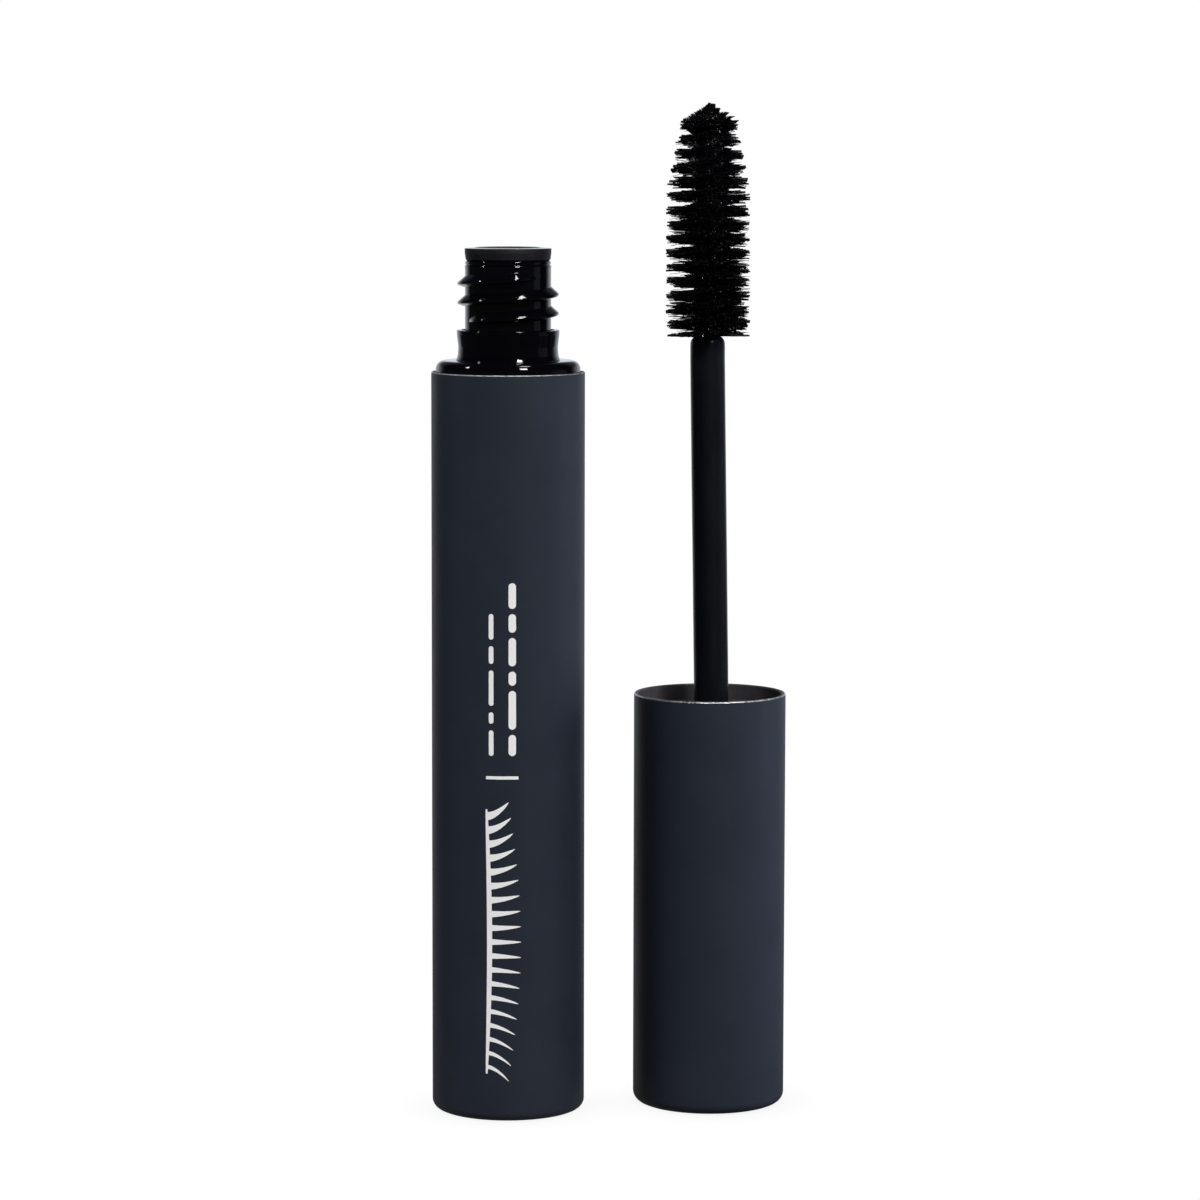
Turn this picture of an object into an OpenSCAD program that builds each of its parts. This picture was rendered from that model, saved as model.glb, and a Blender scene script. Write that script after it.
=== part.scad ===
// Mascara tube, shown open. The bottle stands on its base, and the cap with its wand
// stands beside it, turned over on its closed end with the brush up.
// The bottle's axis is Z and its base plane is z = 0. The cap's pieces are each drawn
// where they sit when the cap is screwed home, and laid_beside() turns them over.

/* [Tube] */
// Outside diameter of the bottle and of the cap
tube_d = 17.5; // [17:0.1:18]
// Height of the bottle's sleeve, from its base to its cut rim
body_h = 85; // [84:0.5:92]
// Height of the cap's sleeve, from its rim to its closed end
cap_h = 47.8; // [46:0.1:52]
// Wall of the two drawn aluminium sleeves
sleeve_wall = 0.45; // [0.4:0.05:0.5]
// Outside radius where a sleeve's side turns into its closed end
corner_r = 1.2; // [1:0.1:1.5]
// Gap between the two sleeves when the cap is screwed home
closed_gap = 0.2; // [0.1:0.05:0.3]

/* [Neck] */
// Outside diameter of the neck between the threads
neck_d = 9.8; // [9.7:0.05:9.9]
// Height of the neck's top face above the sleeve's rim
neck_rise = 12.63; // [12.5:0.01:13]
// Bore of the neck, which the wiper is pressed into
neck_bore_d = 7.4; // [7.2:0.1:7.6]
// Height of a thread ridge above the wall it stands on
thread_h = 0.93; // [0.85:0.01:0.95]
// Rise of the single-start right-hand thread in one turn
thread_pitch = 2.17; // [2.1:0.01:2.25]
// Turns of thread on the neck
neck_turns = 2.26; // [2:0.01:2.4]
// Turns of thread inside the cap
cap_turns = 1.6; // [1.2:0.1:2]

/* [Shoulder ring] */
// Diameter of the collar around the foot of the neck
collar_d = 11.64; // [11.2:0.02:11.8]
// Height of the collar's top above the sleeve's rim
collar_rise = 4.75; // [4.4:0.05:4.9]
// Diameter of the rounded shoulder that stands in the sleeve's mouth
shoulder_d = 16.5; // [16.2:0.1:16.5]
// Height of the shoulder's top above the sleeve's rim
shoulder_rise = 1.3; // [1.2:0.05:1.55]

/* [Wiper] */
// Diameter of the lip that rests on the neck
lip_d = 9.84; // [9.6:0.02:9.9]
// Thickness of the lip
lip_h = 1.47; // [1.3:0.01:1.55]
// Diameter of the hole that wipes the rod
orifice_d = 3.93; // [3.91:0.01:4]

/* [Wand] */
// Diameter of the rod
rod_d = 3.85; // [3.8:0.01:3.87]
// Length of the brush beyond the rod's end
brush_len = 26.7; // [24:0.1:28]
// Diameter of the brush over its full part
brush_d = 9.7; // [9:0.1:10]
// Height of the brush's tip above the table, with the wand standing on its cap
wand_h = 115.6; // [112:0.1:116]

/* [Standing place of the cap] */
// Distance from the bottle's axis to the cap's axis, to the right
cap_x = 23.2; // [22:0.1:30]
// Distance that the cap's axis is set back
cap_y = 3.5; // [0:0.1:6]

/* [Hidden] */
$fn = 96;

eps = 0.01;
tube_r = tube_d / 2;
bore_r = tube_r - sleeve_wall;
closed_h = body_h + closed_gap + cap_h;
fit = 0.02;

// Base of the sleeve: a standing ring around a shallow recess.
recess_r = 6.3;
recess_h = 0.35;
floor_z = recess_h + sleeve_wall;

// Inner bottle.
neck_r = neck_d / 2;
neck_top = body_h + neck_rise;
neck_bore_r = neck_bore_d / 2;
vial_r = 7.5;
vial_wall = 0.95;
vial_floor = 1.3;
vial_top = body_h - 2;
vial_taper_z = vial_top - 3.6;
vial_roof_z = vial_top - 1;
band_h = 3;
low_band_z = 4;
mid_band_z = body_h / 2;
neck_edge = 0.25;

// Neck thread: the ridge's tip line, from its lower end up to its upper end.
thread_top_angle = 306;
thread_start = 1.95;
thread_top_z = neck_top - thread_start;
thread_low_angle = thread_top_angle - 360 * neck_turns;
thread_low_z = thread_top_z - thread_pitch * neck_turns;

// Shoulder ring.
collar_r = collar_d / 2;
collar_top = body_h + collar_rise;
shoulder_r = shoulder_d / 2;
shoulder_top = body_h + shoulder_rise;
shoulder_round = 1.3;
skirt_top = body_h - 0.9;
skirt_low = body_h - 6;

// Wiper.
lip_r = lip_d / 2;
lip_top = neck_top + lip_h;
throat_r = 3.2;
orifice_r = orifice_d / 2;
wiper_cone_z = neck_top - 8;
wiper_land_z = neck_top - 11;
wiper_low = neck_top - 12.6;

// Inner cap.
mouth_z = body_h + closed_gap + 1.8;
cap_bore_r = neck_r + thread_h + 0.22;
lip_room_r = lip_r + 0.33;
lip_room_z = neck_top - 1.6;
seat_z = lip_top + 0.95;
web_h = 1.5;
socket_r = 3.3;
socket_top = seat_z + web_h + 9.5;
cap_roof = closed_h - sleeve_wall;
hollow_r = bore_r - 0.9;

// Wand.
rod_r = rod_d / 2;
rod_end = closed_h - wand_h + brush_len;
rod_top = socket_top - 1;
flange_low = lip_top + 0.05;
plug_r = throat_r - 0.1;
plug_h = 1.5;
wire_r = 0.32;
core_hole_r = 2 * wire_r + 0.03;
core_depth = 7.5;
core_tip = closed_h - wand_h + 0.9;
core_pitch = 3.22;
brush_r = brush_d / 2;
brush_tip = closed_h - wand_h;

// A sleeve's profile filled solid: closed end down, outer radius r, height h.
module cup_profile(r, h, round_r) {
    translate([0, round_r])
        square([r, h - round_r]);
    square([r - round_r, round_r + eps]);
    translate([r - round_r, round_r])
        circle(round_r);
}

// A straight wall in profile, from radius r1 to r2 and from z1 to z2.
module wall(r1, r2, z1, z2) {
    translate([r1, z1])
        square([r2 - r1, z2 - z1]);
}

// A helical ridge. The section is a list of [height above the wall, axial offset] points,
// the first and last of them sunk in the wall; dir is 1 on a shaft and -1 in a bore.
// The ridge sinks into the wall over the run-out angle at each end.
module helical_ridge(wall_r, section, dir, pitch, turns, run_out, per_turn) {
    n = ceil(turns * per_turn);
    m = len(section);
    step = 360 * turns / n;
    function rise(k) = min(1, k * step / run_out, (n - k) * step / run_out);
    function eased(k) = sin(90 * rise(k));
    points = [for (k = [0:n], p = section)
        let (h = p[0] <= 0 ? p[0] : (p[0] + 0.08) * eased(k) - 0.08, r = wall_r + dir * h)
        [r * cos(k * step), r * sin(k * step), pitch * k * step / 360 + p[1]]];
    sides = [for (k = [0:n - 1], i = [0:m - 1])
        let (a = k * m + i, b = k * m + (i + 1) % m)
        each [[a, a + m, b], [b, a + m, b + m]]];
    low_end = [for (i = [m - 1:-1:0]) i];
    top_end = [for (i = [0:m - 1]) n * m + i];
    faces = concat(sides, [low_end, top_end]);
    polyhedron(points, dir > 0 ? faces : [for (f = faces) [for (i = [len(f) - 1:-1:0]) f[i]]]);
}

// Section of the neck's ridge: a short lower flank and a long, hollow upper one.
neck_section = [[-0.2, -0.45], [thread_h, -0.14], [thread_h, 0.12],
                [0.4 * thread_h, 0.36], [-0.2, 0.82]];
// Section of the cap's ridge, a plain trapezium that leaves slack on both flanks.
cap_section = [[-0.2, -0.5], [0.92, -0.2], [0.92, 0.2], [-0.2, 0.5]];

// Turns the closed cap over onto its end, and stands it beside the bottle.
module laid_beside() {
    heading = atan2(cap_y, cap_x);
    translate([cap_x, cap_y, closed_h])
        rotate(a = 180, v = [-sin(heading), cos(heading), 0])
            children();
}

// Drawn aluminium sleeve of the bottle, closed and recessed at its base.
module body_sleeve() {
    color([0.13, 0.15, 0.19])
        rotate_extrude() {
            difference() {
                cup_profile(tube_r, body_h, corner_r);
                wall(0, recess_r, -eps, recess_h);
                difference() {
                    translate([0, sleeve_wall])
                        cup_profile(bore_r, body_h, corner_r - sleeve_wall);
                    wall(0, recess_r + sleeve_wall, 0, floor_z);
                }
            }
        }
}

// Moulded bottle inside the sleeve, with its threaded neck.
module inner_bottle() {
    band_r = bore_r - fit;
    groove_z = neck_top - 0.5;
    groove = 0.1;
    color([0.02, 0.02, 0.025])
        union() {
            rotate_extrude()
                difference() {
                    union() {
                        wall(0, vial_r, floor_z, vial_top);
                        wall(0, neck_r, vial_top - eps, neck_top);
                        wall(vial_r - vial_wall, band_r, low_band_z, low_band_z + band_h);
                        wall(vial_r - vial_wall, band_r, mid_band_z, mid_band_z + band_h);
                    }
                    wall(0, vial_r - vial_wall, floor_z + vial_floor, vial_taper_z);
                    polygon([[0, vial_taper_z - eps], [vial_r - vial_wall, vial_taper_z - eps],
                             [neck_bore_r, vial_roof_z], [0, vial_roof_z]]);
                    wall(0, neck_bore_r, vial_roof_z - eps, neck_top + eps);
                    polygon([[neck_r - neck_edge, neck_top + eps], [neck_r + eps, neck_top + eps],
                             [neck_r + eps, neck_top - neck_edge]]);
                    polygon([[neck_r - groove, groove_z], [neck_r + eps, groove_z - groove],
                             [neck_r + eps, groove_z + groove]]);
                }
            translate([0, 0, thread_low_z])
                rotate(thread_low_angle)
                    helical_ridge(neck_r, neck_section, 1, thread_pitch, neck_turns, 45, 40);
        }
}

// Ring pressed over the neck: collar, rounded shoulder, and the skirt that holds the sleeve.
module shoulder_ring() {
    waist = 0.1;
    flare = 0.12;
    lean = 0.35;
    edge = 0.12;
    rim_gap = 0.42;
    rim_h = 1;
    color([0.02, 0.02, 0.025])
        rotate_extrude()
            difference() {
                union() {
                    wall(0, bore_r - fit, skirt_low, skirt_top);
                    wall(0, shoulder_r, skirt_top - eps, shoulder_top - shoulder_round);
                    wall(0, shoulder_r - shoulder_round, skirt_top, shoulder_top);
                    translate([shoulder_r - shoulder_round, shoulder_top - shoulder_round])
                        circle(shoulder_round);
                    polygon([[0, shoulder_top - eps],
                             [collar_r + flare, shoulder_top - eps],
                             [collar_r - waist, shoulder_top + lean],
                             [collar_r - waist, collar_top - 3 * lean],
                             [collar_r, collar_top - 2 * lean],
                             [collar_r, collar_top - edge],
                             [collar_r - edge, collar_top],
                             [0, collar_top]]);
                }
                wall(0, neck_r + fit, skirt_low - eps, collar_top + eps);
                wall(0, neck_r + rim_gap, collar_top - rim_h, collar_top + eps);
                wall(0, vial_r + fit, skirt_low - eps, vial_top);
            }
}

// Elastomer plug in the neck: lip, throat, funnel and the hole that wipes the rod.
module wiper() {
    plug_wall_r = neck_bore_r - fit;
    land_r = orifice_r + 0.55;
    lip_taper = 0.1;
    crown = 0.1;
    edge = 0.13;
    mouth_edge = 0.4;
    color([0.04, 0.04, 0.045])
        rotate_extrude()
            difference() {
                polygon([[0, wiper_low], [land_r, wiper_low], [land_r, wiper_land_z],
                         [plug_wall_r, wiper_cone_z], [plug_wall_r, neck_top],
                         [lip_r - lip_taper, neck_top], [lip_r, lip_top - crown - edge],
                         [lip_r - edge, lip_top - crown], [throat_r + mouth_edge + edge, lip_top], [0, lip_top]]);
                polygon([[0, wiper_low - eps], [orifice_r, wiper_low - eps],
                         [orifice_r, wiper_land_z], [throat_r, wiper_cone_z],
                         [throat_r, lip_top - mouth_edge], [throat_r + mouth_edge, lip_top],
                         [throat_r + mouth_edge, lip_top + eps], [0, lip_top + eps]]);
            }
}

// Drawn aluminium sleeve of the cap, plain at its closed end.
module cap_sleeve() {
    color([0.11, 0.13, 0.17])
        laid_beside()
            translate([0, 0, closed_h])
                mirror([0, 0, 1])
                    rotate_extrude()
                        difference() {
                            cup_profile(tube_r, cap_h, corner_r);
                            translate([0, sleeve_wall])
                                cup_profile(bore_r, cap_h, corner_r - sleeve_wall);
                        }
}

// Moulded inner cap: threaded bore, seat for the wand's flange, socket for the rod.
module inner_cap() {
    inner_r = bore_r - fit;
    roof_edge = 1;
    mouth_edge = 0.4;
    ribs = 6;
    rib_t = 0.8;
    rib_sink = 0.3;
    cap_thread_z = mouth_z + 3.75;
    cap_thread_angle = thread_low_angle
        + 360 * (cap_thread_z - thread_low_z + thread_pitch / 2) / thread_pitch;
    color([0.05, 0.04, 0.04])
        laid_beside()
            union() {
                rotate_extrude()
                    difference() {
                        union() {
                            wall(0, inner_r, mouth_z, cap_roof - roof_edge);
                            wall(0, inner_r - roof_edge, mouth_z, cap_roof);
                        }
                        wall(0, cap_bore_r, mouth_z - eps, lip_room_z);
                        polygon([[0, mouth_z - eps], [cap_bore_r + mouth_edge, mouth_z - eps],
                                 [cap_bore_r, mouth_z + mouth_edge], [0, mouth_z + mouth_edge]]);
                        wall(0, lip_room_r, lip_room_z - eps, seat_z);
                        wall(0, rod_r + fit, seat_z - eps, rod_top);
                        wall(socket_r, hollow_r, seat_z + web_h, cap_roof + eps);
                        wall(0, hollow_r, socket_top, cap_roof + eps);
                    }
                for (i = [0:ribs - 1])
                    rotate(360 * i / ribs)
                        translate([socket_r - rib_sink, -rib_t / 2, seat_z + web_h - rib_sink])
                            cube([hollow_r - socket_r + 2 * rib_sink, rib_t, socket_top - seat_z - web_h]);
                translate([0, 0, cap_thread_z])
                    rotate(cap_thread_angle)
                        helical_ridge(cap_bore_r, cap_section, -1, thread_pitch, cap_turns, 40, 40);
            }
}

// Wand's rod: shank in the socket, flange and plug that seal the wiper, long plain stem.
module rod() {
    end_round = 0.55;
    lip_t = 0.6;
    groove_w = 0.25;
    color([0.02, 0.02, 0.022])
        laid_beside()
            rotate_extrude()
                difference() {
                    union() {
                        wall(0, rod_r, rod_end + end_round, rod_top);
                        wall(0, rod_r - end_round, rod_end, rod_end + 1);
                        translate([rod_r - end_round, rod_end + end_round])
                            circle(end_round);
                        wall(0, lip_r, flange_low, seat_z);
                        wall(0, plug_r, flange_low - plug_h, flange_low + eps);
                    }
                    wall(0, core_hole_r, rod_end - eps, rod_end + core_depth);
                    wall(plug_r - lip_t, plug_r - lip_t + groove_w, flange_low - plug_h - eps,
                         flange_low - groove_w);
                }
}

// Twisted pair of stainless wires that carries the bristles.
module brush_core() {
    len = rod_end + core_depth - 0.1 - core_tip;
    lobe = 0.97 * wire_r;
    color([0.6, 0.6, 0.62])
        laid_beside()
            translate([0, 0, core_tip])
                linear_extrude(height = len, twist = -360 * len / core_pitch,
                               slices = ceil(8 * len / core_pitch), $fn = 6)
                    union() {
                        translate([lobe, 0])
                            circle(wire_r);
                        translate([-lobe, 0])
                            circle(wire_r);
                    }
}

// Envelope of the nylon bristles, full at the rod and trimmed to a long taper at the tip.
// The outline lists [share of the full radius, distance from the tip].
module bristles() {
    outline = [[0.2, 0.4], [0.5, 1.2], [0.66, 2], [0.76, 3.9], [0.82, 5.2],
               [0.88, 6.8], [0.94, 8.4], [1, 9.9]];
    gap = 0.05;
    core_cover = 0.75;
    color([0.03, 0.03, 0.03])
        laid_beside()
            rotate_extrude()
                polygon(concat(
                    [[core_hole_r, rod_end - gap],
                     [core_hole_r, brush_tip + core_cover],
                     [0, brush_tip + core_cover],
                     [0, brush_tip]],
                    [for (p = outline) [p[0] * brush_r, brush_tip + p[1]]],
                    [[brush_r, rod_end - gap]]));
}

body_sleeve();
inner_bottle();
shoulder_ring();
wiper();
cap_sleeve();
inner_cap();
rod();
brush_core();
bristles();
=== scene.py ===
import math
import random

import bmesh
import bpy
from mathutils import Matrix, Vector, noise

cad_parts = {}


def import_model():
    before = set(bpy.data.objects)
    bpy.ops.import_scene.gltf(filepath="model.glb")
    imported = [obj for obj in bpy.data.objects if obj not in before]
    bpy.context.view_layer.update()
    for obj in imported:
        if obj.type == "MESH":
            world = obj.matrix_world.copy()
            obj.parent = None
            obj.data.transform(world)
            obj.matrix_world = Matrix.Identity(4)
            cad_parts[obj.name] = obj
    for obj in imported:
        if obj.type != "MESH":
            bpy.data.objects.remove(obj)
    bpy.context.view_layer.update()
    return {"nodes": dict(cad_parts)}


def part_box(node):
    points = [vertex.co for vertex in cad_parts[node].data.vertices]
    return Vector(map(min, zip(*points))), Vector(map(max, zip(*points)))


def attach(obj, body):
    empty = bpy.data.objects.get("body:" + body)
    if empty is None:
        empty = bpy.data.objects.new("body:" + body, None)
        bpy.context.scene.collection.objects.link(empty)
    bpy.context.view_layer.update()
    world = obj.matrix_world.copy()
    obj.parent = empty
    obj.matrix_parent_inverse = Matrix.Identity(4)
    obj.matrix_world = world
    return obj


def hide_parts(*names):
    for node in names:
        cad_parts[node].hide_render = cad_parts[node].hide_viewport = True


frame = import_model()
MM = 0.001
TAU = 2 * math.pi

# ---------------------------------------------------------------- places, from the CAD frame
sleeve_lo, sleeve_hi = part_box("body_sleeve")
cap_lo, cap_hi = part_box("cap_sleeve")
bottle_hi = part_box("inner_bottle")[1]
ring_lo, ring_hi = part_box("shoulder_ring")
wiper_lo, wiper_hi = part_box("wiper")
rod_lo, rod_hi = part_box("rod")
brush_lo, brush_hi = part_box("bristles")
mouth_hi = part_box("inner_cap")[1]

BOTTLE = Vector(((sleeve_lo.x + sleeve_hi.x) / 2, (sleeve_lo.y + sleeve_hi.y) / 2, 0))
CAP = Vector(((cap_lo.x + cap_hi.x) / 2, (cap_lo.y + cap_hi.y) / 2, 0))
TUBE_R = (sleeve_hi.x - sleeve_lo.x) / 2
RIM_Z = sleeve_hi.z
CAP_Z = cap_hi.z
WALL = 0.45 * MM
NECK_TOP = bottle_hi.z
LIP_TOP = wiper_hi.z
LIP_R = (wiper_hi.x - wiper_lo.x) / 2
BRUSH_R = (brush_hi.x - brush_lo.x) / 2

# ---------------------------------------------------------------- sizes inside the pieces
# These are in millimetres, because the profiles below are written in millimetres.
RECESS_R, RECESS = 6.3, 0.35            # the recess in the bottle's base
PRESS_R = 8.28                          # what is pressed into the sleeve's bore
VIAL_R, VIAL_BORE, VIAL_FLOOR = 7.5, 6.55, 2.1
NECK_BORE = 3.7
SHOULDER_RISE = 1.3                     # the shoulder's top above the sleeve's rim
PLUG_R, THROAT_R, HOLE_R = 3.68, 3.2, 1.965
SHANK_R, STEM_R = 1.925, 1.995          # the rod inside the cap, and the part that is seen
FLANGE_R, FLANGE_LOW, FLANGE_TOP = 4.92, 33.05, 33.95
SEAL_R, SEAL_TOP = 3.1, 35.45
CORE_HOLE_R, CORE_DEPTH = 0.67, 7.5

# The thread on the neck: one right-hand helix, from its upper end down.
NECK_R = 4.9 * MM
PITCH = 2.17 * MM
TURNS = 2.26
TOP_ANGLE = math.radians(306)
TOP_Z = NECK_TOP - 1.95 * MM

# The brush: two rows of fibres in a helix, and its outline as (distance below the tip, radius).
ROW_PITCH = 3.22 * MM
FULL_R = 4.85 * MM
OUTLINE = ((0.0, 0.22), (0.5, 0.7), (1.0, 1.6), (1.5, 2.6), (2.0, 3.1), (2.6, 3.3), (3.9, 3.62),
           (5.2, 3.9), (6.8, 4.2), (8.4, 4.52), (9.9, 4.8), (12.0, 4.85), (40.0, 4.85))


# ---------------------------------------------------------------- materials
class Nodes:
    """A material's node tree, with short calls for the nodes that these materials share."""

    def __init__(self, name, **sockets):
        self.mat = bpy.data.materials.new(name)
        self.mat.use_nodes = True
        self.tree = self.mat.node_tree
        self.tree.nodes.clear()
        self.out = self.tree.nodes.new("ShaderNodeOutputMaterial")
        self.bsdf = self.tree.nodes.new("ShaderNodeBsdfPrincipled")
        self.link(self.bsdf.outputs[0], self.out.inputs["Surface"])
        self.coords = self.tree.nodes.new("ShaderNodeTexCoord").outputs["Object"]
        for key, value in sockets.items():
            self.bsdf.inputs[key.replace("_", " ")].default_value = value

    def link(self, a, b):
        self.tree.links.new(a, b)

    def noise(self, size, detail=3.0, rough=0.5, stretch=(1, 1, 1)):
        """Noise whose cells are about size metres across."""
        scale = self.tree.nodes.new("ShaderNodeVectorMath")
        scale.operation = "MULTIPLY"
        scale.inputs[1].default_value = [s / size for s in stretch]
        self.link(self.coords, scale.inputs[0])
        n = self.tree.nodes.new("ShaderNodeTexNoise")
        n.inputs["Scale"].default_value = 1.0
        n.inputs["Detail"].default_value = detail
        n.inputs["Roughness"].default_value = rough
        self.link(scale.outputs[0], n.inputs["Vector"])
        return n.outputs["Fac"]

    def remap(self, value, low, high, from_low=0.3, from_high=0.7):
        """A value spread over low to high."""
        m = self.tree.nodes.new("ShaderNodeMapRange")
        m.inputs["From Min"].default_value = from_low
        m.inputs["From Max"].default_value = from_high
        m.inputs["To Min"].default_value = low
        m.inputs["To Max"].default_value = high
        self.link(value, m.inputs["Value"])
        return m.outputs["Result"]

    def ramp(self, value, stops):
        """Colours along a value, as (position, colour) stops."""
        r = self.tree.nodes.new("ShaderNodeValToRGB")
        while len(r.color_ramp.elements) < len(stops):
            r.color_ramp.elements.new(0.5)
        for e, (at, colour) in zip(r.color_ramp.elements, stops):
            e.position = at
            e.color = (*colour, 1)
        self.link(value, r.inputs["Fac"])
        return r.outputs["Color"]

    def calc(self, operation, a, b=None):
        m = self.tree.nodes.new("ShaderNodeMath")
        m.operation = operation
        self.link(a, m.inputs[0])
        if b is not None:
            self.link(b, m.inputs[1])
        return m.outputs[0]

    def mix(self, factor, a, b):
        """The second shader where the factor is one, else the first."""
        m = self.tree.nodes.new("ShaderNodeMixShader")
        for value, socket in zip((factor, a, b), m.inputs):
            self.link(value, socket)
        return m.outputs[0]

    def bump(self, height, distance, strength=1.0, after=None):
        b = self.tree.nodes.new("ShaderNodeBump")
        b.inputs["Distance"].default_value = distance
        b.inputs["Strength"].default_value = strength
        self.link(height, b.inputs["Height"])
        if after is not None:
            self.link(after, b.inputs["Normal"])
        return b.outputs["Normal"]

    def set(self, socket, value):
        self.link(value, self.bsdf.inputs[socket])

    def base(self, value, dark, light):
        """The base colour, between two tones."""
        self.set("Base Color", self.ramp(value, [(0.3, dark), (0.7, light)]))


def soft_touch(name, tint=1.0):
    """Matte slate lacquer: fine orange-peel grain, faint cloudiness, and a few handling marks."""
    n = Nodes(name, IOR=1.5, Specular_IOR_Level=0.22)
    dark, light = (0.0168, 0.0214, 0.0335), (0.0198, 0.0252, 0.0388)
    n.base(n.noise(7 * MM, 4.0, 0.6), [c * tint for c in dark], [c * tint for c in light])
    marks = n.noise(2.2 * MM, 5.0, 0.7, (1, 1, 0.25))
    n.set("Roughness", n.remap(marks, 0.47, 0.56))
    grain = n.noise(0.055 * MM, 2.0, 0.6)
    peel = n.noise(0.35 * MM, 2.0, 0.5)
    n.set("Normal", n.bump(grain, 0.004 * MM, 0.5, n.bump(peel, 0.003 * MM, 0.5)))
    return n.mat


def cut_metal(name):
    """Bare aluminium rim as the cutter left it: fine burrs in its bump and nicks in its roughness,
    with painted glints and painted dark patches in its colour.
    """
    n = Nodes(name, Metallic=1.0)
    glint_and_nick = n.noise(0.9 * MM, 6.0, 0.85)
    # painted glints and painted shade: the rim's colour jumps from near black to white in patches,
    # on the same noise that varies its roughness
    stops = [(0.38, (0.08, 0.08, 0.085)), (0.48, (0.6, 0.61, 0.63)), (0.56, (0.96, 0.97, 1.0))]
    n.set("Base Color", n.ramp(glint_and_nick, stops))
    n.set("Roughness", n.remap(glint_and_nick, 0.5, 0.2))
    n.set("Normal", n.bump(n.noise(0.2 * MM, 4.0, 0.8), 0.09 * MM, 1.0))
    return n.mat


def gloss_black(name, rough=0.045, level=0.5):
    """Polished black moulding with faint flow marks and dust specks."""
    n = Nodes(name, IOR=1.49, Specular_IOR_Level=level)
    n.base(n.noise(3 * MM, 3.0), (0.0008, 0.0008, 0.0015), (0.0017, 0.0017, 0.0030))
    streak = n.noise(1.6 * MM, 4.0, 0.65, (1, 1, 0.22))
    n.set("Roughness", n.remap(streak, rough, rough + 0.035, 0.45, 0.75))
    wave = n.bump(n.noise(1.6 * MM, 2.0, 0.5, (1, 1, 0.4)), 0.003 * MM, 0.5)
    fine = n.noise(0.22 * MM, 3.0, 0.7)
    n.set("Normal", n.bump(fine, 0.0008 * MM, 0.4, wave))
    return n.mat


def wetted_black(name):
    """The rod: black moulding under a thin drying film of formula, with long faint runs."""
    n = Nodes(name, IOR=1.45, Specular_IOR_Level=0.3)
    run = n.noise(0.9 * MM, 4.0, 0.6, (1, 1, 0.12))
    n.base(run, (0.0028, 0.0030, 0.0050), (0.0050, 0.0055, 0.0088))
    n.set("Roughness", n.remap(n.noise(1.4 * MM, 4.0, 0.65, (1, 1, 0.4)), 0.3, 0.4))
    n.set("Normal", n.bump(n.noise(0.5 * MM, 3.0, 0.6, (1, 1, 0.35)), 0.008 * MM, 0.5))
    return n.mat


def matte_black(name, colour, rough, grain=0.12 * MM):
    """Satin or matte black plastic, rubber or lining, with a fine grain."""
    n = Nodes(name, IOR=1.45)
    n.base(n.noise(1.5 * MM, 4.0, 0.6), [c * 0.8 for c in colour], [c * 1.25 for c in colour])
    n.set("Roughness", n.remap(n.noise(0.6 * MM, 3.0), rough - 0.07, rough + 0.06))
    n.set("Normal", n.bump(n.noise(grain, 3.0, 0.6), 0.012 * MM, 0.6))
    return n.mat


def wet_fibre(name):
    """Black nylon wetted by the formula, shiny in places."""
    n = Nodes(name, IOR=1.45, Specular_IOR_Level=0.7)
    n.base(n.noise(0.5 * MM, 3.0), (0.0008, 0.0008, 0.0019), (0.0022, 0.0022, 0.0044))
    n.set("Roughness", n.remap(n.noise(0.3 * MM, 3.0), 0.2, 0.42))
    n.set("Normal", n.bump(n.noise(0.12 * MM, 3.0, 0.6), 0.02 * MM, 0.7))
    return n.mat


def drawn_wire(name):
    """Stainless wire with fine drawing lines along it."""
    n = Nodes(name, Metallic=1.0)
    lines = n.noise(0.06 * MM, 3.0, 0.6, (1, 1, 0.1))
    n.base(lines, (0.42, 0.42, 0.43), (0.62, 0.62, 0.63))
    n.set("Roughness", n.remap(lines, 0.24, 0.4))
    n.set("Normal", n.bump(lines, 0.004 * MM, 0.6))
    return n.mat


def white_ink(name):
    """Screen-printed white: slightly raised, a little uneven in cover."""
    n = Nodes(name, IOR=1.45)
    cover = n.noise(0.18 * MM, 4.0, 0.7)
    n.set("Base Color", n.ramp(cover, [(0.2, (0.7, 0.71, 0.72)), (0.4, (0.96, 0.96, 0.97))]))
    n.set("Roughness", n.remap(cover, 0.42, 0.58))
    n.set("Normal", n.bump(n.noise(0.07 * MM, 2.0), 0.004 * MM, 0.6))
    return n.mat


SLEEVE = soft_touch("soft_touch_slate")
CAP_SLEEVE = soft_touch("soft_touch_slate_cap", 1.02)
RIM = cut_metal("cut_aluminium_rim")
LINING = matte_black("sleeve_lining", (0.037, 0.035, 0.041), 0.45)
GLOSS = gloss_black("polished_black")
RING_BLACK = gloss_black("shoulder_black", 0.045, 0.3)
ROD_BLACK = wetted_black("rod_black")
INNER = matte_black("inner_cap_black", (0.034, 0.028, 0.027), 0.4)
RUBBER = matte_black("wiper_black", (0.0048, 0.0050, 0.0082), 0.6, 0.1 * MM)
WIPED = gloss_black("wiped_lip_film", 0.1, 1.0)
FIBRE = wet_fibre("wet_bristle_black")
WIRE = drawn_wire("core_wire")
INK = white_ink("white_ink")


# ---------------------------------------------------------------- mesh helpers
def clamp(t):
    return max(0.0, min(1.0, t))


def smooth(t):
    return t * t * (3 - 2 * t)


def bend(z):
    """How far the wand stands to the right of the cap's axis at height z; its stem leans left."""
    start, mouth, stem_end = 36 * MM, 48 * MM, 86 * MM
    lean = 0.0155
    offset = 0.16 * MM * smooth(clamp((z - start) / (mouth - start)))
    return offset - lean * max(0.0, min(z, stem_end) - mouth)


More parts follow.
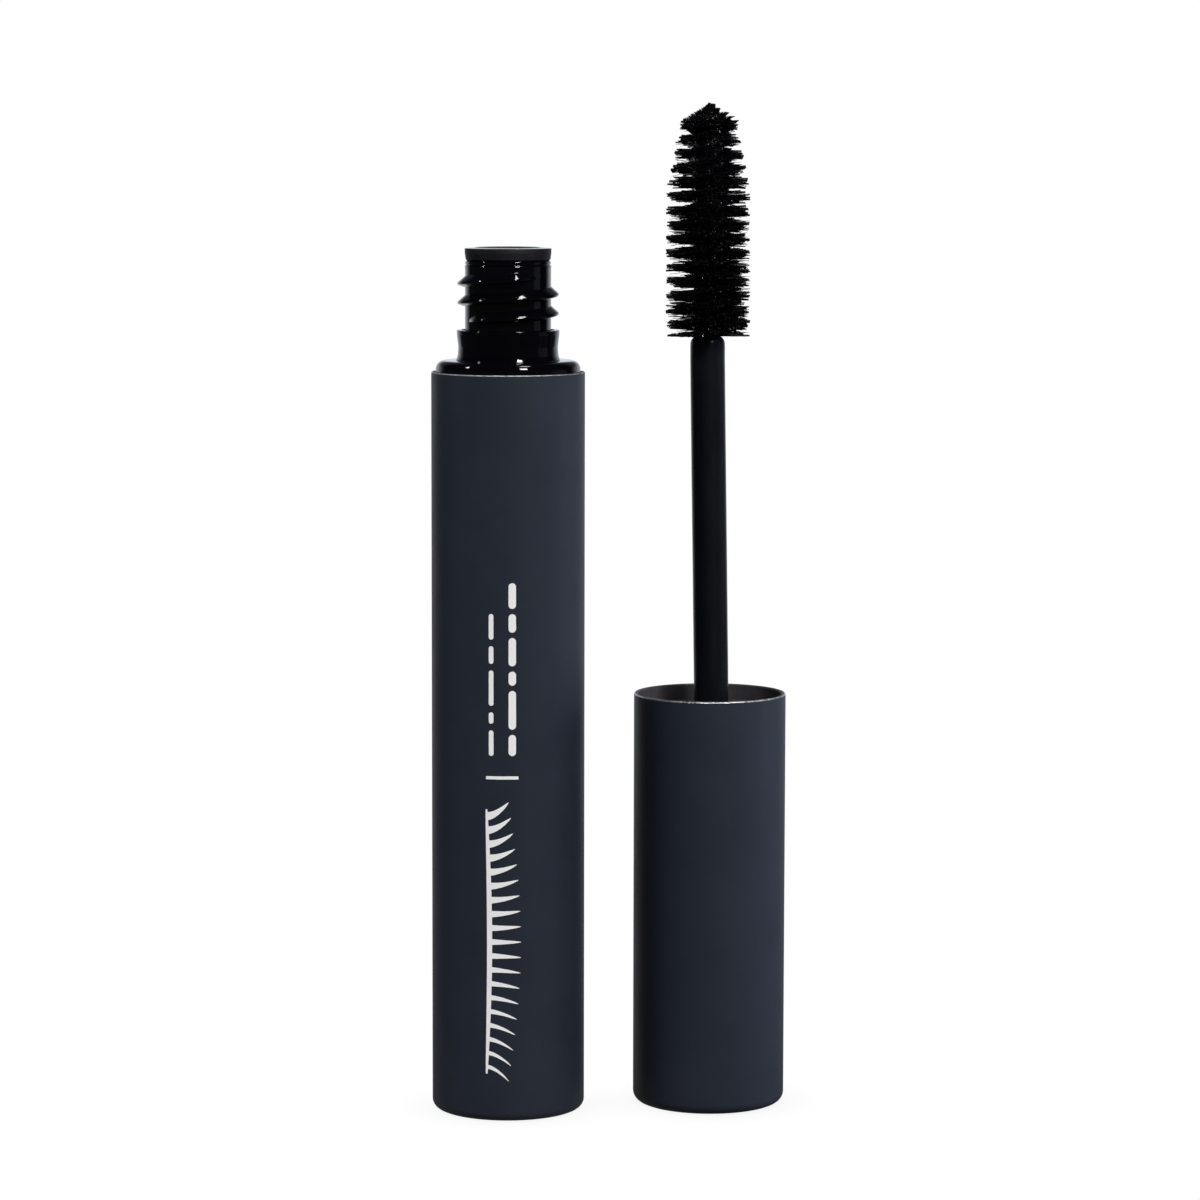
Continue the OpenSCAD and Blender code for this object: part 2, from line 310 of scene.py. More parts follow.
def finish_mesh(name, verts, faces, materials, indices, body, sharp):
    """An object with outward normals that rides on its body, creased over sharp degrees."""
    me = bpy.data.meshes.new(name)
    me.from_pydata(verts, [], faces)
    for m in materials:
        me.materials.append(m)
    if indices:
        me.polygons.foreach_set("material_index", indices)
    bm = bmesh.new()
    bm.from_mesh(me)
    bmesh.ops.recalc_face_normals(bm, faces=bm.faces)
    bm.to_mesh(me)
    bm.free()
    me.polygons.foreach_set("use_smooth", [True] * len(me.polygons))
    if sharp:
        me.set_sharp_from_angle(angle=math.radians(sharp))
    me.update()
    ob = bpy.data.objects.new(name, me)
    bpy.context.scene.collection.objects.link(ob)
    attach(ob, body)
    return ob


def mm(*points):
    """Profile points (r, z, fillet, material), brought from millimetres to metres."""
    return [(r * MM, z * MM, f * MM, m) for r, z, f, m in points]


def rounded(points, steps=6):
    """Rounds the corners of a closed profile of (r, z, fillet, material) points, in metres.

    A point's material is that of the edge that follows it. The result has no fillets.
    """
    out = []
    n = len(points)
    for i, (r, z, fillet, mat) in enumerate(points):
        here = Vector((r, z))
        before, after = Vector(points[i - 1][:2]), Vector(points[(i + 1) % n][:2])
        a, b = before - here, after - here
        half = a.angle(b, 0.0) / 2
        if fillet <= 0 or a.length == 0 or b.length == 0 or half > math.radians(89):
            out.append((r, z, mat))
            continue
        cut = min(fillet / math.tan(half), 0.49 * a.length, 0.49 * b.length)
        radius = cut * math.tan(half)
        centre = here + (a.normalized() + b.normalized()).normalized() * (radius / math.sin(half))
        p, q = here + a.normalized() * cut, here + b.normalized() * cut
        a0 = math.atan2(p.y - centre.y, p.x - centre.x)
        a1 = math.atan2(q.y - centre.y, q.x - centre.x)
        turn = (a1 - a0 + math.pi) % TAU - math.pi
        before_mat = points[i - 1][3]
        for k in range(steps + 1):
            t = a0 + turn * k / steps
            m = mat if k == steps else (before_mat if k < steps / 2 else mat)
            out.append((centre.x + radius * math.cos(t), centre.y + radius * math.sin(t), m))
    return out


def split_long(profile, most):
    """Cuts a profile's long edges into parts no longer than most, except along the axis."""
    out = []
    n = len(profile)
    for i, (r, z, m) in enumerate(profile):
        r2, z2, _ = profile[(i + 1) % n]
        out.append((r, z, m))
        if r < 1e-7 and r2 < 1e-7:
            continue
        parts = max(1, math.ceil(math.hypot(r2 - r, z2 - z) / most))
        out += [(r + (r2 - r) * k / parts, z + (z2 - z) * k / parts, m) for k in range(1, parts)]
    return out


def lathe(name, axis, profile, materials, body, segs, sharp, shape=None, lean=None):
    """Turns a closed profile about a vertical axis.

    shape(r, z, angle) may give another radius, and lean(z) a shift of the axis to the right.
    """
    verts, rows = [], []
    for r, z, _ in profile:
        x = axis.x + (lean(z) if lean else 0.0)
        if r < 1e-7:
            verts.append((x, axis.y, z))
            rows.append([len(verts) - 1] * segs)
            continue
        start = len(verts)
        for k in range(segs):
            a = TAU * k / segs
            rr = shape(r, z, a) if shape else r
            verts.append((x + rr * math.cos(a), axis.y + rr * math.sin(a), z))
        rows.append(list(range(start, start + segs)))
    faces, indices = [], []
    for i in range(len(rows)):
        low, high, m = rows[i], rows[(i + 1) % len(rows)], profile[i][2]
        if low[0] == low[1] and high[0] == high[1]:
            continue
        for k in range(segs):
            j = (k + 1) % segs
            quad = [low[k], low[j], high[j], high[k]]
            face = [v for t, v in enumerate(quad) if v not in quad[:t]]
            faces.append(face)
            indices.append(m)
    return finish_mesh(name, verts, faces, materials, indices, body, sharp)


# ---------------------------------------------------------------- the two sleeves
def sleeve(name, axis, height, recessed, edge, body, coating, node):
    """A drawn cup with its closed end down, a rounded end, and a thin bright cut rim."""
    r, t, h = TUBE_R / MM, WALL / MM, height / MM
    ring = RECESS if recessed else 0.0
    end_round = 1.2
    profile = mm(
        (0, ring, 0, 0), (RECESS_R, ring, 0.2 if recessed else 0, 0),
        *([(RECESS_R + ring, 0.0, 0.25, 0)] if recessed else []),
        (r, 0, end_round, 0), (r, h - edge, 0.02, 1), (r - edge, h, 0.02, 2),
        (r - t + edge, h, 0.02, 2), (r - t, h - edge, 0.02, 2),
        (r - t, ring + t, end_round - t, 2), (0, ring + t, 0, 2))
    ob = lathe(name, axis, split_long(rounded(profile), 6 * MM), [coating, RIM, LINING],
               body, 160, 30)
    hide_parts(node)


sleeve("sleeve_bottle", BOTTLE, RIM_Z, True, 0.08, "bottle", SLEEVE, "body_sleeve")
sleeve("sleeve_cap", CAP, CAP_Z, False, 0.14, "cap_and_wand", CAP_SLEEVE, "cap_sleeve")


# ---------------------------------------------------------------- bottle with its threaded neck
def ridge():
    """The thread ridge: a rounded section, steep below and long above, swept along the helix.

    Each section point is (distance above the crest line, distance out from the neck). The ridge
    sinks into the neck over a short run-out at both ends.
    """
    section = rounded(mm((-0.6, -0.12, 0, 0), (-0.46, 0.0, 0.12, 0), (-0.06, 1.09, 0.21, 0),
                         (0.9, 0.0, 0.5, 0), (1.3, -0.12, 0, 0)), 7)
    steps, extra, run_out = 480, 0.2, 0.7
    verts, faces, n = [], [], len(section)
    for k in range(steps + 1):
        back = -extra + (TAU * TURNS + 2 * extra) * k / steps
        angle = TOP_ANGLE - back
        rise = smooth(clamp((min(back, TAU * TURNS - back) + extra) / run_out))
        crest = TOP_Z - PITCH * back / TAU - 0.06 * MM * math.cos(angle)
        for dz, out, _ in section:
            r = NECK_R - 0.02 * MM + max(out, -0.1 * MM) * rise - 0.04 * MM * (1 - rise)
            z = crest + dz * (0.4 + 0.6 * rise)
            verts.append((BOTTLE.x + r * math.cos(angle), BOTTLE.y + r * math.sin(angle), z))
    for k in range(steps):
        for i in range(n):
            a, b = k * n + i, k * n + (i + 1) % n
            faces.append((a, b, b + n, a + n))
    faces.append(tuple(range(n - 1, -1, -1)))
    faces.append(tuple(range(steps * n, steps * n + n)))
    ob = finish_mesh("thread_ridge", verts, faces, [GLOSS], None, "bottle", 50)
    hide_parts("inner_bottle")


def bottle():
    """The moulded bottle: a vial, a band that grips the sleeve, and the neck with a fine groove."""
    top, vial, neck = NECK_TOP / MM, RIM_Z / MM - 2, NECK_R / MM
    foot = 0.8
    profile = mm(
        (0, foot, 0, 0), (VIAL_R, foot, 0.6, 0), (VIAL_R, 3.9, 0.1, 0), (PRESS_R, 4, 0.2, 0),
        (PRESS_R, 7, 0.2, 0), (VIAL_R, 7.1, 0.1, 0), (VIAL_R, vial, 0.4, 0), (neck, vial, 0.2, 0),
        (neck, top - 1.0, 0.05, 0), (neck + 0.03, top - 0.62, 0.16, 0),
        (neck - 0.12, top - 0.5, 0.05, 0), (neck - 0.02, top - 0.4, 0.12, 0),
        (neck - 0.06, top - 0.08, 0.12, 0), (neck - 0.25, top, 0.05, 0), (NECK_BORE, top, 0.1, 0),
        (NECK_BORE, vial - 1, 0.3, 0), (VIAL_BORE, vial - 3.6, 1, 0),
        (VIAL_BORE, VIAL_FLOOR, 1.2, 0), (0, VIAL_FLOOR, 0, 0))
    ob = lathe("bottle_moulding", BOTTLE, split_long(rounded(profile), 2 * MM), [GLOSS],
               "bottle", 192, 40)
    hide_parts("inner_bottle")


bottle()
ridge()


# ---------------------------------------------------------------- shoulder ring with its collar
def shoulder():
    """The ring pressed over the neck: skirt inside, rounded shoulder, and a waisted collar."""
    rim, top, low = RIM_Z / MM, ring_hi.z / MM, ring_lo.z / MM
    flat = rim + SHOULDER_RISE
    inner = NECK_R / MM + 0.02
    skirt = VIAL_R + 0.05
    outer, collar = 8.25, 5.84
    profile = mm(
        (inner, flat - 2.5, 0.1, 0), (skirt, flat - 3.5, 0, 0), (skirt, low, 0.1, 0),
        (PRESS_R, low, 0.15, 0), (PRESS_R, rim - 0.9, 0.12, 0), (outer, rim - 0.75, 0.05, 0),
        (outer, flat, 1.25, 0), (6.0, flat, 0.05, 0), (5.92, flat + 0.07, 0.06, 0),
        (5.74, flat + 0.55, 0.8, 0), (5.67, flat + 1.5, 3.0, 0), (collar, top - 0.5, 1.0, 0),
        (collar, top, 0.1, 0), (inner + 0.4, top, 0.09, 0), (inner + 0.38, top - 0.95, 0.1, 0),
        (inner, top - 1.05, 0.05, 0))
    ob = lathe("shoulder_and_collar", BOTTLE, split_long(rounded(profile, 7), 1.5 * MM),
               [RING_BLACK], "bottle", 192, 40)
    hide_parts("shoulder_ring")


shoulder()


# ---------------------------------------------------------------- wiper
def wiper():
    """The wiper: a lip with a wiped film on its top, a throat, and a cone down to its hole."""
    top, neck, low = LIP_TOP / MM, NECK_TOP / MM, wiper_lo.z / MM
    r, cone, land = LIP_R / MM, neck - 8, neck - 11
    profile = mm(
        (HOLE_R, low, 0.1, 0), (2.5, low, 0.2, 0), (2.52, low + 1.6, 0.3, 0),
        (PLUG_R, cone, 0.3, 0), (PLUG_R, neck, 0.02, 0), (r - 0.26, neck, 0.06, 0),
        (r - 0.1, neck + 0.1, 0.12, 0), (r, top - 0.6, 0.8, 0), (r, top - 0.1, 0.07, 1),
        (3.72, top, 0.05, 0), (3.6, top - 0.12, 0.1, 0), (THROAT_R, top - 0.6, 0.2, 0),
        (THROAT_R, cone, 0.4, 0), (HOLE_R, land, 0.3, 0))
    ob = lathe("wiper_plug", BOTTLE, split_long(rounded(profile), 1.0 * MM), [RUBBER, WIPED],
               "bottle", 160, 40)
    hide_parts("wiper")


wiper()


# ---------------------------------------------------------------- rod
def rod():
    """The wand's rod: shank, flange and sealing plug in the cap, and the stem up to the brush."""
    base, mouth, end = rod_lo.z / MM, mouth_hi.z / MM, rod_hi.z / MM

    def wavy(r, z, a):
        """The dried formula leaves the stem very slightly uneven."""
        if r < 1.9 * MM:
            return r
        p = Vector((math.cos(a) * 2.2, math.sin(a) * 2.2, z / MM * 0.35))
        return r - 0.012 * MM * (0.5 + noise.noise(p))

    profile = mm(
        (0, base, 0, 0), (SHANK_R, base, 0.3, 0), (SHANK_R, FLANGE_LOW, 0, 0),
        (FLANGE_R, FLANGE_LOW, 0.1, 0), (FLANGE_R, FLANGE_TOP, 0.1, 0),
        (SEAL_R, FLANGE_TOP, 0.1, 0), (SEAL_R, SEAL_TOP, 0.2, 0),
        (SEAL_R - 0.6, SEAL_TOP, 0.1, 0), (SHANK_R, SEAL_TOP - 0.85, 0.2, 0),
        (STEM_R, mouth, 0, 0), (STEM_R, end - 1.2, 0.0, 0), (STEM_R * 0.985, end - 0.55, 0.8, 0),
        (STEM_R - 0.45, end, 0.36, 0), (CORE_HOLE_R, end, 0.05, 0),
        (CORE_HOLE_R, end - CORE_DEPTH, 0, 0), (0, end - CORE_DEPTH, 0, 0))
    ob = lathe("wand_rod", CAP, split_long(rounded(profile, 7), 0.8 * MM), [ROD_BLACK],
               "cap_and_wand", 96, 45, wavy, bend)
    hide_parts("rod")


rod()


# ---------------------------------------------------------------- brush
def envelope(z):
    """The trimmed brush's radius at height z, in metres."""
    down = (brush_hi.z - z) / MM
    for (d0, r0), (d1, r1) in zip(OUTLINE, OUTLINE[1:]):
        if down <= d1:
            t = max(0.0, (down - d0) / (d1 - d0))
            return (r0 + (r1 - r0) * t) * MM * BRUSH_R / FULL_R
    return BRUSH_R


def brush():
    """The bristles: two helical rows of wet fibres, a swept tuft, and the formula packed inside."""
    rng = random.Random(11)
    low, high = brush_lo.z, brush_hi.z - 0.02 * MM
    first_row = low + 1.34 * MM
    tuft = 2.7 * MM
    clump = 0.47 * MM
    verts, faces = [], []

    def helix(z, side):
        """Where a row of fibres leaves the core at height z; the two rows are half a turn apart."""
        return TAU * (z - first_row) / ROW_PITCH + math.pi * side

    def around(r, angle, z, shift=0.0):
        """The point at a radius and an angle around the wand's own axis at height z."""
        x = CAP.x + bend(z) + shift + r * math.cos(angle)
        return Vector((x, CAP.y + r * math.sin(angle), z))

    def strand(path, widths):
        """A thin three-sided fibre along a path, of these radii."""
        first = len(verts)
        turn = rng.random() * TAU
        for i, (p, w) in enumerate(zip(path, widths)):
            along = (path[min(i + 1, len(path) - 1)] - path[max(i - 1, 0)]).normalized()
            side = along.cross(Vector((0, 0, 1)))
            side = side.normalized() if side.length > 1e-6 else Vector((1, 0, 0))
            up = side.cross(along)
            for k in range(3):
                t = turn + TAU * k / 3
                verts.append(tuple(p + (side * math.cos(t) + up * math.sin(t)) * w))
        for i in range(len(path) - 1):
            for k in range(3):
                a, b = first + 3 * i + k, first + 3 * i + (k + 1) % 3
                faces.append((a, b, b + 3, a + 3))
        last = first + 3 * (len(path) - 1)
        faces.append((last, last + 1, last + 2))
        faces.append((first + 2, first + 1, first))

    def fibre(angle, z0, tip_angle, tip_z, reach, radii, wobble, curve=1.5, shift=0.0):
        """One fibre from the core at angle and z0 out to its tip, which may be swept up.

        radii are in millimetres, from the core to the tip. shift moves the tip to the right.
        """
        path = []
        for k in range(5):
            t = k / 4
            r = 0.5 * MM + (reach - 0.5 * MM) * t
            z = z0 + (tip_z - z0) * t ** curve
            p = around(r, angle + (tip_angle - angle) * t, z, shift * t)
            path.append(p + Vector([rng.gauss(0, wobble * t) for _ in range(3)]))
        strand(path, [w * MM for w in radii])

    def inside(z, margin=0.2 * MM):
        """A height kept within the brush, this far below its tip."""
        return min(max(z, low + 0.03 * MM), high - margin)

    def lift(z):
        """How far the last rows are swept up towards the tip."""
        return 1.3 * MM * max(0.0, 1 - (high - z) / (4.2 * MM)) ** 2

    start = low - 0.45 * MM
    rows = high - 2.3 * MM - start
    turns = rows / ROW_PITCH

    # thick bundles of wet fibres, trimmed to the envelope: the teeth at the ends of the rows
    spots = int(turns * 2 * 44)
    for c in range(spots):
        z0 = start + rows * (c // 2 + rng.random()) / (spots // 2)
        angle = helix(z0, c % 2) + rng.gauss(0, 0.05)
        for _ in range(rng.choice((1, 1, 2))):
            level = rng.choice((-0.27, -0.12, 0.03, 0.17, 0.3)) * MM + rng.gauss(0, 0.03) * MM
            lean = rng.gauss(0, 0.07)
            cut = rng.choice((1.0, 1.0, 1.0, 1.0, 0.985, 0.97, 0.94, 0.9, 0.84))
            tip_z = z0 + level + lift(z0) + rng.gauss(0, 0.05) * MM
            for _ in range(rng.choice((4, 5, 6, 8))):
                end_z = inside(tip_z + rng.gauss(0, 0.04) * MM)
                reach = envelope(end_z) * cut * rng.uniform(0.985, 1.0)
                root = inside(z0 + 0.8 * level + rng.gauss(0, 0.1) * MM, 1.5 * MM)
                fibre(angle, root, angle + lean + rng.gauss(0, 0.013), end_z, reach,
                      (0.085, 0.078, 0.07, 0.064, 0.052), 0.01 * MM)

    # shorter, closer fibres that make the rows solid nearer to the core
    spots = int(turns * 2 * 90)
    for c in range(spots):
        z0 = start + rows * (c // 2 + rng.random()) / (spots // 2)
        angle = helix(z0, c % 2) + rng.gauss(0, 0.04)
        for _ in range(3):
            level = rng.uniform(-0.3, 0.3) * MM
            end_z = inside(z0 + level + lift(z0))
            reach = envelope(end_z) * rng.uniform(0.6, 0.93)
            root = inside(z0 + level + rng.gauss(0, 0.1) * MM, 1.5 * MM)
            fibre(angle, root, angle + rng.gauss(0, 0.07), end_z, reach,
                  (0.09, 0.085, 0.08, 0.07, 0.045), 0.015 * MM)

    # single stray fibres between the rows
    for c in range(900):
        z0 = start + rows * rng.random()
        angle = helix(z0, c % 2) + rng.gauss(0, 0.4)
        tip_z = inside(z0 + rng.gauss(0, 0.3) * MM, 0.4 * MM)
        reach = envelope(tip_z) * rng.uniform(0.88, 1.0)
        fibre(angle, inside(z0), angle + rng.gauss(0, 0.1), tip_z, reach,
              (0.05, 0.045, 0.038, 0.033, 0.028), 0.03 * MM)

    def fleck(z0, side, spread, near, far):
        """A fleck of formula that sits on the fibres and catches the light."""
        angle = helix(z0, side) + rng.gauss(0, spread)
        z = inside(z0 + lift(z0) + rng.uniform(-0.24, 0.24) * MM, 0.5 * MM)
        p = around(envelope(z) * rng.uniform(near, far), angle, z)
        d = Vector([rng.gauss(0, 1) for _ in range(3)]).normalized() * 0.06 * MM
        width = rng.uniform(0.05, 0.085) * MM
        strand([p - d, p + d], [width, width * 0.8])

    for c in range(3600):
        fleck(start + rows * rng.random(), c % 2, 0.15, 0.45, 0.9)

    # the pointed tuft at the end, where the last fibres are swept together over the wire;
    # its right side is more ragged, with the tips gathered in small clumps
    for _ in range(1100):
        down = tuft * rng.random() ** 0.75
        angle = rng.random() * TAU
        right = 0.5 + 0.5 * math.cos(angle)
        down += 0.8 * right * (clump * (0.5 + math.floor(down / clump)) - down)
        tip_z = high - down
        lump = Vector((3.2 * math.cos(angle), 3.2 * math.sin(angle), tip_z / MM * 2.1))
        ragged = (0.13 + 0.07 * right) * noise.noise(lump)
        reach = envelope(tip_z) * (0.92 + 0.07 * right + ragged)
        reach *= 1.0 if rng.random() < 0.6 else rng.uniform(0.8, 1.0)
        root = inside(tip_z - (0.5 + 1.5 * rng.random()) * MM, 2.4 * MM)
        radii = [w * rng.uniform(0.8, 1.2) for w in (0.09, 0.085, 0.08, 0.065, 0.035)]
        fibre(angle, root, angle + rng.gauss(0, 0.06), tip_z - 0.03 * MM, reach, radii,
              0.015 * MM, 1.1, 0.28 * MM * (1 - down / tuft))

    # formula and fibre roots gathered over the rod's rounded end
    for _ in range(260):
        angle = rng.random() * TAU
        end_z = low + rng.uniform(-0.12, 0.3) * MM
        fibre(angle, low + rng.uniform(0.05, 0.5) * MM, angle + rng.gauss(0, 0.15), end_z,
              rng.uniform(1.2, 2.3) * MM, (0.09, 0.09, 0.08, 0.07, 0.05), 0.02 * MM)

    # pairs of strays that thicken the rows over the lower part, where the formula is wettest
    for c in range(620):
        z0 = start + 0.6 * rows * rng.random()
        angle = helix(z0, c % 2) + rng.gauss(0, 0.62)
        for _ in range(2):
            tip_z = inside(z0 + rng.gauss(0, 0.06) * MM, 0.4 * MM)
            fibre(angle, inside(z0), angle + rng.gauss(0, 0.03), tip_z,
                  envelope(tip_z) * rng.uniform(0.86, 1.0),
                  (0.06, 0.056, 0.05, 0.045, 0.036), 0.02 * MM)
    for c in range(1500):
        fleck(start + 0.75 * rows * rng.random(), c % 2, 0.2, 0.65, 0.96)

    hairs = finish_mesh("bristle_fibres", verts, faces, [FIBRE], None,
                        "cap_and_wand", 50)

    def packed(r, z, a):
        """The formula packed between the fibres near the core, heaped along the two rows."""
        if r < 0.2 * MM:
            return r
        row = math.cos(2 * (a - helix(z, 0)))
        p = Vector((math.cos(a) * 3.1, math.sin(a) * 3.1, z / MM * 1.5))
        lump = noise.noise(p) + 0.5 * noise.noise(p * 2.3)
        return min(0.84 * envelope(z + 0.5 * MM), (1.6 + 0.4 * max(0.0, row) + 0.3 * lump) * MM)

    steps, foot = 220, low - 0.02 * MM
    profile = [(0, foot, 0)]
    profile += [(1.0 * MM, foot + (high - low - 1.0 * MM) * k / steps, 0) for k in range(steps + 1)]
    profile += [(0, high - 0.9 * MM, 0)]
    paste = lathe("packed_formula", CAP, profile, [FIBRE], "cap_and_wand", 96, 0,
                  packed, bend)
    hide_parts("bristles")
    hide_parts("bristles")


brush()


# ---------------------------------------------------------------- the CAD nodes that stay
for name, mat in (("inner_cap", INNER), ("brush_core", WIRE)):
    slots = frame["nodes"][name].data.materials
    slots.clear()
    slots.append(mat)


# ---------------------------------------------------------------- generic printed motif
def motif():
    """White print: a fan of plain curved strokes, a short bar, and two rows of rounded bars.

    Places on it are (u, v): millimetres to the right around the bottle, and up from its base.
    """
    face = math.radians(-93.0)
    radius = TUBE_R + 0.012 * MM
    across = (0.5, 0.3, 0.1, -0.1, -0.3, -0.5)
    verts, faces = [], []

    def put(u, v):
        """The point of the bottle's side at (u, v)."""
        a = face + u * MM / TUBE_R
        return (BOTTLE.x + radius * math.cos(a), BOTTLE.y + radius * math.sin(a), v * MM)

    def ribbon(points, widths):
        """A stroke of ink through these points, as wide as widths says at each."""
        start = len(verts)
        for i, ((u, v), w) in enumerate(zip(points, widths)):
            u0, v0 = points[max(i - 1, 0)]
            u1, v1 = points[min(i + 1, len(points) - 1)]
            length = math.hypot(u1 - u0, v1 - v0)
            nu, nv = -(v1 - v0) / length, (u1 - u0) / length
            verts.extend(put(u + nu * w * s, v + nv * w * s) for s in across)
        for i in range(len(points) - 1):
            for k in range(len(across) - 1):
                a = start + len(across) * i + k
                faces.append((a, a + 1, a + 1 + len(across), a + len(across)))

    def bar(u, v0, v1, width):
        """A rounded bar along the bottle."""
        cap, n = width / 2, 8
        turns = [math.pi / 2 * k / n for k in range(n + 1)]
        lower = [(v0 + cap - cap * math.cos(t), t) for t in turns]
        upper = [(v1 - cap + cap * math.cos(t), t) for t in reversed(turns[:-1])]
        ribbon([(u, v) for v, _ in lower + upper],
               [max(0.02, width * math.sin(t)) for _, t in lower + upper])

    # fan of lash-like strokes off a shallow curve, finer at its foot and bolder at its head
    first, last, count = 5.6, 36.0, 19

    def spine(t):
        return -1.85 + 0.35 * math.sin(math.pi * t), first + (last - first) * t

    ribbon([spine(k / 40) for k in range(41)],
           [0.2 + 0.4 * math.sin(math.pi * k / 40) ** 0.7 for k in range(41)])
    for s in range(count):
        t = (s + 0.5) / count
        u0, v0 = spine(t)
        reach = 2.4 + 1.2 * math.sin(math.pi * t)
        weight = 0.42 + 0.5 * t
        path = [(u0 + reach * k / 10, v0 + 3.4 * (t - 0.5) * (k / 10) ** 1.7) for k in range(11)]
        ribbon(path, [weight * (1 - k / 10) ** 0.7 + 0.05 for k in range(11)])

    # the short bar across, and the two rows of bars above it
    bar_v, rows_v = 39.6, 42.1
    ribbon([(-1.9 + 3.7 * k / 10, bar_v) for k in range(11)], [0.36] * 11)
    for u, width, space, lengths in ((-1.3, 0.55, 0.75, (2.9, 1.3, 4.0, 2.0, 2.9)),
                                     (1.1, 0.85, 0.6, (2.4, 4.4, 1.6, 3.2, 2.1, 2.9))):
        at = rows_v
        for length in lengths:
            bar(u, at, at + length, width)
            at += length + space
    ob = finish_mesh("printed_motif", verts, faces, [INK], None, "bottle", 0)
    for p in ob.data.polygons:
        out = p.center - BOTTLE
        if p.normal.dot(Vector((out.x, out.y, 0))) < 0:
            p.flip()


motif()


# ---------------------------------------------------------------- floor, light and camera
def floor_material():
    """White and evenly lit to the eye, with a faint contact shade; much dimmer as a bounce light.

    A glossy ray sees it bright well behind the object and dark in front and to the sides.
    """
    n = Nodes("pale_floor", Roughness=0.9, IOR=1.3)
    n.base(n.noise(0.2, 2.0), (0.12, 0.12, 0.123), (0.14, 0.14, 0.143))
    contact = n.tree.nodes.new("ShaderNodeAmbientOcclusion")
    contact.inputs["Distance"].default_value = 7 * MM
    shade = n.ramp(contact.outputs["AO"], [(0.25, (0.9, 0.9, 0.905)), (0.9, (1.0, 1.0, 1.0))])
    lit = n.tree.nodes.new("ShaderNodeEmission")
    n.link(shade, lit.inputs["Color"])
    place = n.tree.nodes.new("ShaderNodeSeparateXYZ")
    n.link(n.coords, place.inputs[0])
    behind = n.calc("SUBTRACT", place.outputs["Y"], n.calc("ABSOLUTE", place.outputs["X"]))
    mirrored = n.tree.nodes.new("ShaderNodeEmission")
    n.link(n.remap(behind, 0.04, 0.8, -0.05, 0.12), mirrored.inputs["Strength"])
    path = n.tree.nodes.new("ShaderNodeLightPath").outputs
    bounce = n.mix(path["Is Glossy Ray"], n.bsdf.outputs[0], mirrored.outputs[0])
    n.link(n.mix(path["Is Camera Ray"], bounce, lit.outputs[0]), n.out.inputs["Surface"])
    return n.mat


def floor():
    side, front, back, z = 0.7, -0.06, 0.7, -0.02 * MM
    me = bpy.data.meshes.new("floor")
    me.from_pydata([(-side, front, z), (side, front, z), (side, back, z), (-side, back, z)],
                   [], [(0, 1, 2, 3)])
    me.materials.append(floor_material())
    ob = bpy.data.objects.new("floor", me)
    bpy.context.scene.collection.objects.link(ob)


floor()


def area(name, azimuth, elevation, distance, width, height, power, glossy=True, colour=(1, 1, 1)):
    """A soft lamp. Azimuth 0 is on the camera's side, positive to the right.

    A lamp that is not glossy lights the object but is not seen in it.
    """
    target = Vector((CAP.x / 2, 0, 0.06))
    a, e = math.radians(azimuth), math.radians(elevation)
    light = bpy.data.lights.new(name, "AREA")
    light.shape = "RECTANGLE"
    light.size, light.size_y = width, height
    light.energy = power
    light.color = colour
    ob = bpy.data.objects.new(name, light)
    towards = Vector((math.sin(a) * math.cos(e), -math.cos(a) * math.cos(e), math.sin(e)))
    ob.location = target + towards * distance
    ob.rotation_mode = "QUATERNION"
    ob.rotation_quaternion = (target - ob.location).to_track_quat("-Z", "Y")
    ob.visible_glossy = glossy
    bpy.context.scene.collection.objects.link(ob)


area("key", 30, 44, 1.0, 0.16, 0.2, 8.8, True, (1.0, 0.985, 0.96))
area("overhead", 80, 76, 0.9, 0.14, 0.14, 1.2)
area("side_left", -84, 44, 1.0, 0.05, 0.09, 2.2)
area("side_right", 100, 0, 0.17, 0.06, 0.1, 0.24, False)
area("fill_front", 22, 26, 1.3, 1.0, 0.7, 3.9, False, (0.96, 0.98, 1.0))
area("fill_left", -85, 10, 0.9, 0.5, 0.7, 2.2, False, (0.96, 0.98, 1.0))


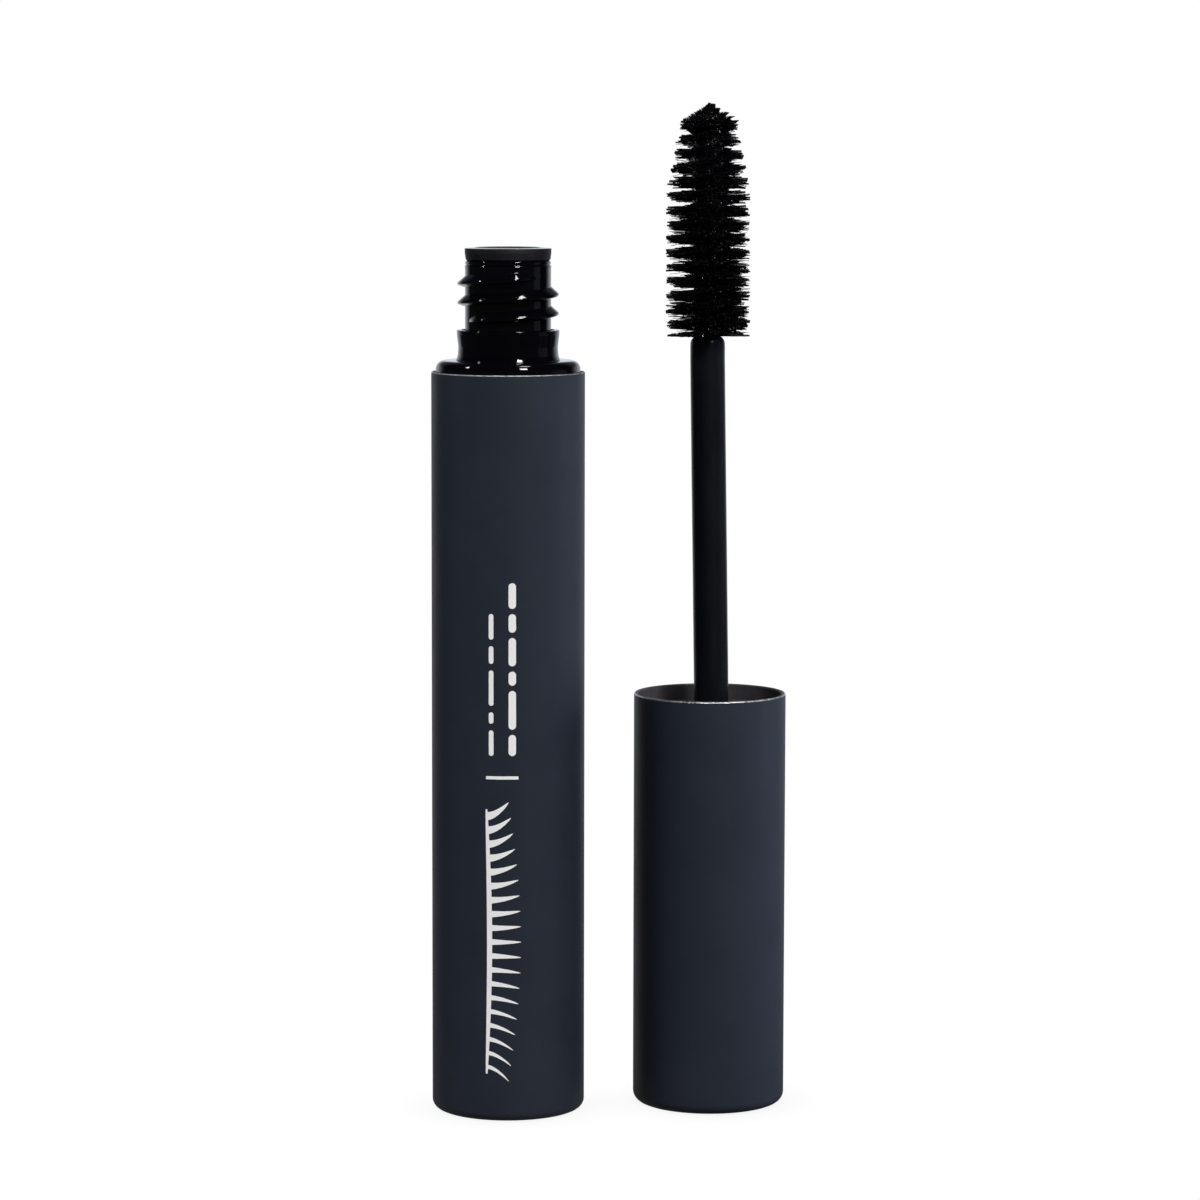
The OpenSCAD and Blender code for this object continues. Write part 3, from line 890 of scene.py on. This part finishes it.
def world():
    """White low behind the object, dim elsewhere, a strip at the right; white to the camera."""
    w = bpy.data.worlds.new("studio")
    bpy.context.scene.world = w
    w.use_nodes = True
    t = w.node_tree
    t.nodes.clear()
    coords = t.nodes.new("ShaderNodeTexCoord")
    parts = t.nodes.new("ShaderNodeSeparateXYZ")
    t.links.new(coords.outputs["Generated"], parts.inputs[0])

    def part(axis, start, end, low, high):
        """A smooth change from low to high as the direction's axis goes from start to end."""
        m = t.nodes.new("ShaderNodeMapRange")
        m.interpolation_type = "SMOOTHSTEP"
        m.inputs["From Min"].default_value = start
        m.inputs["From Max"].default_value = end
        m.inputs["To Min"].default_value = low
        m.inputs["To Max"].default_value = high
        t.links.new(parts.outputs[axis], m.inputs["Value"])
        return m.outputs["Result"]

    def calc(operation, a, b):
        m = t.nodes.new("ShaderNodeMath")
        m.operation = operation
        t.links.new(a, m.inputs[0])
        t.links.new(b, m.inputs[1])
        return m.outputs[0]

    back = calc("MULTIPLY", part("Y", 0.52, 0.88, 0.035, 1.0), part("Z", 0.1, 0.36, 1.0, 0.15))
    strength = calc("ADD", back, part("X", 0.955, 0.972, 0.0, 0.13))
    dim = t.nodes.new("ShaderNodeBackground")
    dim.inputs["Color"].default_value = (0.86, 0.91, 1.0, 1)
    t.links.new(strength, dim.inputs["Strength"])
    seen = t.nodes.new("ShaderNodeBackground")
    seen.inputs["Color"].default_value = (1, 1, 1, 1)
    path = t.nodes.new("ShaderNodeLightPath")
    mix = t.nodes.new("ShaderNodeMixShader")
    out = t.nodes.new("ShaderNodeOutputWorld")
    t.links.new(path.outputs["Is Camera Ray"], mix.inputs[0])
    t.links.new(dim.outputs[0], mix.inputs[1])
    t.links.new(seen.outputs[0], mix.inputs[2])
    t.links.new(mix.outputs[0], out.inputs[0])


world()

# the camera, matched to the photo by the edges of the sleeves and the wand
cam_data = bpy.data.cameras.new("camera")
cam_data.lens = 131.9
cam_data.sensor_width = 36
cam_data.clip_start, cam_data.clip_end = 0.01, 20
camera = bpy.data.objects.new("camera", cam_data)
camera.location = (0.0104, -0.500, 0.1125)
camera.rotation_euler = (math.radians(90 - 6.12), math.radians(-0.11), 0)
bpy.context.scene.collection.objects.link(camera)
bpy.context.scene.camera = camera

bpy.context.scene.view_settings.view_transform = "Standard"
bpy.context.scene.view_settings.look = "None"
